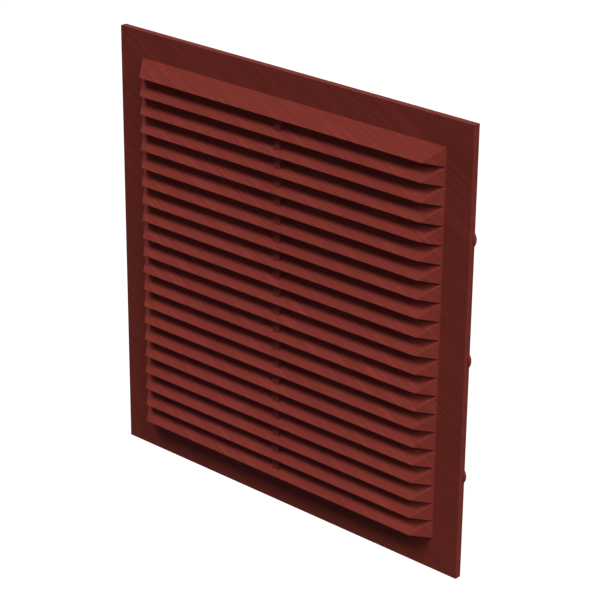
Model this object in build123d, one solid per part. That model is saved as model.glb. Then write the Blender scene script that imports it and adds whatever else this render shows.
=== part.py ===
"""Louvred wall vent grille, one moulding in plastic. Millimetres, +Z up.

The back plane, which lies on the wall, is Y = 0 and the front of the plate faces -Y.
The origin is the centre of the plate's outline, on the back plane.
"""

import os
from math import atan2, cos, hypot

from build123d import *

# Plate: a flat face wall with a rim round its outside
plate_width = 243.0
plate_height = 250.0
plate_depth = 4.0
face_wall = 2.0
rim_wall = 2.0

# Louvre bank: hoods of one thin wall, one under the other, that stand out of the plate
side_margin = 16.5
top_margin = 15.1
least_bottom_margin = 18.0
louvre_pitch = 10.32
louvre_projection = 10.1
louvre_drop = 7.4
hip_length = 7.5
louvre_wall = 1.6

# Stiffening: a wall round the bank behind the plate, and an upright rib at mid width
surround_wall = 1.8
rib_width = 4.6
rib_projection = 6.8

# Round lugs that stand out of both side edges, in the rear part of the depth
lug_radius = 6.0
lug_stand_out = 1.25
lug_depth = 2.0
lug_spacing = 65.4
middle_lug_level = -0.45

# Levels and edges that follow from the sizes above
plate_front = -plate_depth
louvre_front = plate_front - louvre_projection
hollow_depth = plate_depth - face_wall
louvre_count = int((plate_height - top_margin - least_bottom_margin) / louvre_pitch)
bank_width = plate_width - 2 * side_margin
bank_height = louvre_count * louvre_pitch
bank_top = plate_height / 2 - top_margin
bank_bottom = bank_top - bank_height

# Fall of a louvre's roof and rise of its underside, for each millimetre out from the plate
roof_fall = louvre_drop / louvre_projection
underside_rise = (louvre_pitch - louvre_drop) / louvre_projection

# The thin wall as it is met straight down through a roof and straight across a hip
roof_wall = louvre_wall / cos(atan2(louvre_drop, louvre_projection))
hip_wall = louvre_wall * hypot(louvre_projection, hip_length) / louvre_projection


def side_prism(outline, width):
    """Extrude an outline of (Y, Z) points to both sides of the middle plane."""
    return extrude(Plane.YZ * make_face(Polyline(*outline, close=True)), width / 2, both=True)


def louvre_wedges(roof_inset, hip_inset):
    """A wedge for each louvre, inset from its roof and hips, with mitred ends.

    Its underside runs from the front edge back down to where the next roof starts.
    """
    nose = (louvre_pitch - roof_inset) / (roof_fall + underside_rise)
    section = [
        (plate_front, -roof_inset),
        (plate_front - nose, -roof_inset - nose * roof_fall),
        (plate_front, -louvre_pitch),
    ]
    root = bank_width / 2 - hip_inset
    tip = root - hip_length
    plan = [(-root, plate_front), (-tip, louvre_front), (tip, louvre_front), (root, plate_front)]
    mitres = extrude(Pos(0, 0, bank_bottom) * make_face(Polyline(*plan, close=True)), bank_height)
    return (Part() + down_the_bank(side_prism(section, bank_width))) & mitres


def down_the_bank(solid):
    """One copy of the solid for each louvre, stepping down from the top of the bank."""
    return [Pos(0, 0, bank_top - step * louvre_pitch) * solid for step in range(louvre_count)]


def make_plate():
    """Flat plate, hollow behind its face, with a wall round the outside and round the bank."""
    plate = Pos(0, plate_front / 2, 0) * Box(plate_width, plate_depth, plate_height)
    hollow = Box(plate_width - 2 * rim_wall, hollow_depth, plate_height - 2 * rim_wall)
    surround = Pos(0, 0, (bank_top + bank_bottom) / 2) * (
        Box(bank_width + 2 * surround_wall, hollow_depth, bank_height + 2 * surround_wall)
        - Box(bank_width, hollow_depth, bank_height)
    )
    return plate - Pos(0, -hollow_depth / 2, 0) * (hollow - surround)


def make_louvres():
    """Thin hoods over slots in the plate: a sloped roof each, closed at both ends by a hip."""
    slot_width = bank_width - 2 * hip_wall
    slot_height = louvre_pitch - roof_wall
    slot = Pos(0, plate_front / 2, slot_height / 2 - louvre_pitch) * Box(
        slot_width, plate_depth, slot_height
    )
    hoods = louvre_wedges(0, 0) - louvre_wedges(roof_wall, hip_wall)
    return hoods, down_the_bank(slot)


def make_rib():
    """Upright bar that ties the louvres together, from the back plane out to between them."""
    rib_front = plate_front - rib_projection
    root_top = bank_top - roof_wall
    outline = [
        (0, bank_bottom),
        (plate_front, bank_bottom),
        (rib_front, bank_bottom + rib_projection * underside_rise),
        (rib_front, root_top - rib_projection * roof_fall),
        (plate_front, root_top),
        (0, root_top),
    ]
    return side_prism(outline, rib_width)


def make_lugs():
    """Three round lugs on each side edge, set back behind the face of the plate."""
    lug = Cylinder(lug_radius, lug_depth, rotation=(90, 0, 0))
    across = plate_width / 2 + lug_stand_out - lug_radius
    return [
        Pos(side * across, -lug_depth / 2, middle_lug_level + step * lug_spacing) * lug
        for side in (-1, 1)
        for step in (-1, 0, 1)
    ]


hoods, slots = make_louvres()
grille = make_plate() - slots + hoods + make_rib() + make_lugs()

os.makedirs("parts", exist_ok=True)
export_step(grille, "parts/louvre_grille.step")
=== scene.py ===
"""Louvred wall vent grille in brick-red moulded plastic. Metres, +Z up, the front faces -Y."""

from math import cos, pi, radians, sin

import bpy
from mathutils import Matrix, Vector

MM = 0.001

# Camera: where its axis meets the front of the plate, how it stands to it (degrees) and its lens
CAMERA_TARGET = Vector((10.96, -4.03, 1.162)) * MM
CAMERA_DISTANCE = 1158.04 * MM
CAMERA_AZIMUTH = 41.688
CAMERA_ELEVATION = 23.626
CAMERA_ROLL = 0.5425
CAMERA_LENS = 131.15
CAMERA_SENSOR = 36.0

# Plastic: brick red, with painted shade: flat faces that look to the front are made darker in
# colour, standing in for less light on them
PLASTIC_RED = (0.215, 0.0335, 0.0252)
PLASTIC_ROUGHNESS = (0.52, 0.64)
PLASTIC_SPECULAR = 0.02
FRONT_FACING = (-0.9, -0.99)
FRONT_PAINTED_SHADE = 0.85

# Flow marks: long faint streaks, finer lines and soft clouds that lie across the face at a slant
STREAK_ACROSS = Vector((0.5, 0.92, 0.866))
STREAK_SIZE = Vector((40.0, 40.0, 1.0)) * MM
STREAK_DETAIL = 2.0
STREAK_CONTRAST = 0.145
LINE_SIZE = Vector((50.0, 50.0, 1.3)) * MM
LINE_DETAIL = 0.0
LINE_RANGE = (0.62, 0.76)
LINE_CONTRAST = 0.2
CLOUD_SIZE = Vector((90.0, 90.0, 12.0)) * MM
CLOUD_DETAIL = 1.0
CLOUD_SHARE = 0.25
NOISE_RANGE = (0.3, 0.7)

# Grain: the fine unevenness of a satin moulding
GRAIN_SIZE = 0.35 * MM
GRAIN_DETAIL = 2.0
GRAIN_DEPTH = 0.02 * MM
GRAIN_STRENGTH = 0.25

# Edges: how far the moulding's corners are broken; in degrees, what counts as flat and as an edge
EDGE_BREAK = 0.2 * MM
EDGE_SEGMENTS = 2
WELD_GAP = 0.001 * MM
FLAT_ANGLE = 1.0
EDGE_ANGLE = 25.0

# Stage: the floor's own glow, its colour under the lamps (warm, to even out the cool fill), the
# grey with which it lights the object, and the fill from all round
FLOOR_LEVEL = -1.6
FLOOR_REACH = 12.0
FLOOR_GLOW = 0.62
FLOOR_SHADE = (0.6, 0.54, 0.53, 1.0)
FLOOR_BOUNCE = 0.03
AMBIENT = (0.025, 0.12, 0.14, 1.0)


def direction(azimuth, elevation):
    """Unit vector from the object; azimuth 0 is to the front (-Y) and 90 to the right (+X)."""
    a = radians(azimuth)
    e = radians(elevation)
    return Vector((sin(a) * cos(e), -cos(a) * cos(e), sin(e)))


def tint(colour, share):
    """The colour made lighter or darker by a share, as a shader takes it."""
    return (*[channel * share for channel in colour], 1.0)


def grey(value):
    """A grey as a shader takes it."""
    return (value, value, value, 1.0)


def new_material(name):
    """An empty node material, with its nodes and links."""
    material = bpy.data.materials.new(name)
    material.use_nodes = True
    nodes = material.node_tree.nodes
    nodes.clear()
    return material, nodes, material.node_tree.links


def stretched_noise(nodes, links, place, size, detail):
    """Soft noise in cells that are thin along STREAK_ACROSS; size is long, long, thin."""
    mapping = nodes.new("ShaderNodeMapping")
    mapping.vector_type = "TEXTURE"
    mapping.inputs["Rotation"].default_value = STREAK_ACROSS.to_track_quat("Z", "Y").to_euler()
    mapping.inputs["Scale"].default_value = size
    noise = nodes.new("ShaderNodeTexNoise")
    noise.inputs["Scale"].default_value = 1.0
    noise.inputs["Detail"].default_value = detail
    links.new(place, mapping.inputs["Vector"])
    links.new(mapping.outputs["Vector"], noise.inputs["Vector"])
    return noise.outputs["Fac"]


def map_range(nodes, links, value, source, target):
    """The value with its source range stretched to the target range, and held to it."""
    node = nodes.new("ShaderNodeMapRange")
    node.inputs["From Min"].default_value, node.inputs["From Max"].default_value = source
    node.inputs["To Min"].default_value, node.inputs["To Max"].default_value = target
    links.new(value, node.inputs["Value"])
    return node.outputs["Result"]


def mix_colours(nodes, links, factor, low, high, blend="MIX"):
    """Two colours mixed or multiplied by a factor; low is a colour or a socket that gives one."""
    mix = nodes.new("ShaderNodeMix")
    mix.data_type = "RGBA"
    mix.blend_type = blend
    factor_in, low_in, high_in = mix.inputs[0], mix.inputs[6], mix.inputs[7]
    links.new(factor, factor_in)
    if isinstance(low, tuple):
        low_in.default_value = low
    else:
        links.new(low, low_in)
    high_in.default_value = high
    return mix.outputs[2]


def plastic_material():
    """Moulded plastic: slanted streaks and clouds in the colour, a fine grain in the surface, and
    painted shade on faces that look to the front.
    """
    material, nodes, links = new_material("grille_plastic_red")
    out = nodes.new("ShaderNodeOutputMaterial")
    shader = nodes.new("ShaderNodeBsdfPrincipled")
    shader.inputs["Specular IOR Level"].default_value = PLASTIC_SPECULAR
    links.new(shader.outputs["BSDF"], out.inputs["Surface"])
    coordinates = nodes.new("ShaderNodeTexCoord")
    place = coordinates.outputs["Object"]

    streaks = stretched_noise(nodes, links, place, STREAK_SIZE, STREAK_DETAIL)
    clouds = stretched_noise(nodes, links, place, CLOUD_SIZE, CLOUD_DETAIL)
    lines = stretched_noise(nodes, links, place, LINE_SIZE, LINE_DETAIL)
    blend = nodes.new("ShaderNodeMix")
    blend.inputs["Factor"].default_value = CLOUD_SHARE
    links.new(streaks, blend.inputs["A"])
    links.new(clouds, blend.inputs["B"])
    flow = map_range(nodes, links, blend.outputs["Result"], NOISE_RANGE, (0.0, 1.0))
    line = map_range(nodes, links, lines, LINE_RANGE, (0.0, 1.0))
    dark = tint(PLASTIC_RED, 1.0 - STREAK_CONTRAST)
    light = tint(PLASTIC_RED, 1.0 + STREAK_CONTRAST)
    streaked = mix_colours(nodes, links, flow, dark, light)
    lined = mix_colours(nodes, links, line, streaked, tint(PLASTIC_RED, 1.0 + LINE_CONTRAST))

    # Painted shade: faces whose normal looks to the front (-Y) are multiplied by the front shade
    # factor, standing in for less light
    facing = nodes.new("ShaderNodeSeparateXYZ")
    links.new(coordinates.outputs["Normal"], facing.inputs["Vector"])
    front = map_range(nodes, links, facing.outputs["Y"], FRONT_FACING, (0.0, 1.0))
    painted_shade_colour = mix_colours(nodes, links, front, lined, grey(FRONT_PAINTED_SHADE), "MULTIPLY")
    links.new(painted_shade_colour, shader.inputs["Base Color"])
    polish = map_range(nodes, links, blend.outputs["Result"], NOISE_RANGE, PLASTIC_ROUGHNESS)
    links.new(polish, shader.inputs["Roughness"])

    grain = nodes.new("ShaderNodeTexNoise")
    grain.inputs["Scale"].default_value = 1.0 / GRAIN_SIZE
    grain.inputs["Detail"].default_value = GRAIN_DETAIL
    links.new(place, grain.inputs["Vector"])
    bump = nodes.new("ShaderNodeBump")
    bump.inputs["Strength"].default_value = GRAIN_STRENGTH
    bump.inputs["Distance"].default_value = GRAIN_DEPTH
    links.new(grain.outputs["Fac"], bump.inputs["Height"])
    links.new(bump.outputs["Normal"], shader.inputs["Normal"])
    return material


def seen_directly(nodes, links):
    """1 for what the camera sees, also in a reflection or through glass, and 0 for its light."""
    path = nodes.new("ShaderNodeLightPath")
    seen = path.outputs["Is Camera Ray"]
    for ray in ("Is Glossy Ray", "Is Transmission Ray"):
        either = nodes.new("ShaderNodeMath")
        either.operation = "MAXIMUM"
        links.new(seen, either.inputs[0])
        links.new(path.outputs[ray], either.inputs[1])
        seen = either.outputs["Value"]
    return seen


def floor_material():
    """Floor that is seen as white but for the object's shadow, and throws little light up."""
    material, nodes, links = new_material("stage_white")
    out = nodes.new("ShaderNodeOutputMaterial")
    seen = seen_directly(nodes, links)
    dark = nodes.new("ShaderNodeBsdfDiffuse")
    dark.inputs["Color"].default_value = grey(FLOOR_BOUNCE)
    glow = nodes.new("ShaderNodeEmission")
    glow.inputs["Strength"].default_value = FLOOR_GLOW
    lit = nodes.new("ShaderNodeBsdfDiffuse")
    lit.inputs["Color"].default_value = FLOOR_SHADE
    pale = nodes.new("ShaderNodeAddShader")
    mix = nodes.new("ShaderNodeMixShader")
    links.new(glow.outputs["Emission"], pale.inputs[0])
    links.new(lit.outputs["BSDF"], pale.inputs[1])
    links.new(seen, mix.inputs["Fac"])
    links.new(dark.outputs["BSDF"], mix.inputs[1])
    links.new(pale.outputs["Shader"], mix.inputs[2])
    links.new(mix.outputs["Shader"], out.inputs["Surface"])
    return material


def make_stage():
    """A wide floor, so far down that its shadow is out of view and views from below clear it."""
    bpy.ops.mesh.primitive_plane_add(size=2 * FLOOR_REACH, location=(0, 0, FLOOR_LEVEL))
    floor = bpy.context.object
    floor.name = "floor"
    floor.data.materials.append(floor_material())


def make_world():
    """White all round to the eye, and a dim fill as a light."""
    world = bpy.data.worlds.new("studio")
    bpy.context.scene.world = world
    world.use_nodes = True
    nodes = world.node_tree.nodes
    links = world.node_tree.links
    nodes.clear()
    out = nodes.new("ShaderNodeOutputWorld")
    seen = seen_directly(nodes, links)
    dim = nodes.new("ShaderNodeBackground")
    dim.inputs["Color"].default_value = AMBIENT
    white = nodes.new("ShaderNodeBackground")
    white.inputs["Color"].default_value = grey(1.0)
    mix = nodes.new("ShaderNodeMixShader")
    links.new(seen, mix.inputs["Fac"])
    links.new(dim.outputs["Background"], mix.inputs[1])
    links.new(white.outputs["Background"], mix.inputs[2])
    links.new(mix.outputs["Shader"], out.inputs["Surface"])


def add_soft_lamp(name, azimuth, elevation, level, spread):
    """A far soft lamp, spread degrees across; a white face that looks at it shows its level."""
    light = bpy.data.lights.new(name, "SUN")
    light.angle = radians(spread)
    light.energy = pi * level
    lamp = bpy.data.objects.new(name, light)
    lamp.rotation_mode = "QUATERNION"
    lamp.rotation_quaternion = direction(azimuth, elevation).to_track_quat("Z", "Y")
    bpy.context.collection.objects.link(lamp)


def make_camera():
    """The photograph's camera."""
    back = direction(CAMERA_AZIMUTH, CAMERA_ELEVATION)
    data = bpy.data.cameras.new("camera")
    data.lens = CAMERA_LENS
    data.sensor_width = CAMERA_SENSOR
    camera = bpy.data.objects.new("camera", data)
    turn = back.to_track_quat("Z", "Y").to_matrix().to_4x4()
    roll = Matrix.Rotation(radians(CAMERA_ROLL), 4, "Z")
    camera.matrix_world = Matrix.Translation(CAMERA_TARGET + CAMERA_DISTANCE * back) @ turn @ roll
    bpy.context.collection.objects.link(camera)
    bpy.context.scene.camera = camera


def dress_grille(grille):
    """The moulding as it is in the solid, with its edges broken and the plastic put on."""
    weld = grille.modifiers.new("joined", "WELD")
    weld.merge_threshold = WELD_GAP
    whole = grille.modifiers.new("whole_faces", "DECIMATE")
    whole.decimate_type = "DISSOLVE"
    whole.angle_limit = radians(FLAT_ANGLE)
    edges = grille.modifiers.new("broken_edges", "BEVEL")
    edges.width = EDGE_BREAK
    edges.segments = EDGE_SEGMENTS
    edges.limit_method = "ANGLE"
    edges.angle_limit = radians(EDGE_ANGLE)
    edges.use_clamp_overlap = False
    edges.harden_normals = True
    grille.data.materials.clear()
    grille.data.materials.append(plastic_material())


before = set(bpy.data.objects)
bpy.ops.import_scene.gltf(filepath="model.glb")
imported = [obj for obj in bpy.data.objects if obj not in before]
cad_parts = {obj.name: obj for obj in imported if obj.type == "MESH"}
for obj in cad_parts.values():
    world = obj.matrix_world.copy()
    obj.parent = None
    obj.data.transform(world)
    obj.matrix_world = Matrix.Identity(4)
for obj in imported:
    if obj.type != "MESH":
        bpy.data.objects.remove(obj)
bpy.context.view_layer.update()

dress_grille(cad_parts["louvre_grille"])
make_stage()
make_world()

# Azimuth and elevation of each lamp, its level and its spread
add_soft_lamp("key", -1, 58, 0.475, 18.5)
add_soft_lamp("left", -30, 50, 0.05, 14)
add_soft_lamp("front_low", 0, 20, 0.045, 24)
add_soft_lamp("side_high", 60, 47, 0.19, 11)
add_soft_lamp("side_middle", 75, 29, 0.215, 13)
add_soft_lamp("side_far", 90, 15, 0.13, 10)
add_soft_lamp("side_low", 90, 1, 0.1, 10)
add_soft_lamp("rear", 190, 6, 0.45, 30)

make_camera()
bpy.context.scene.view_settings.view_transform = "Standard"
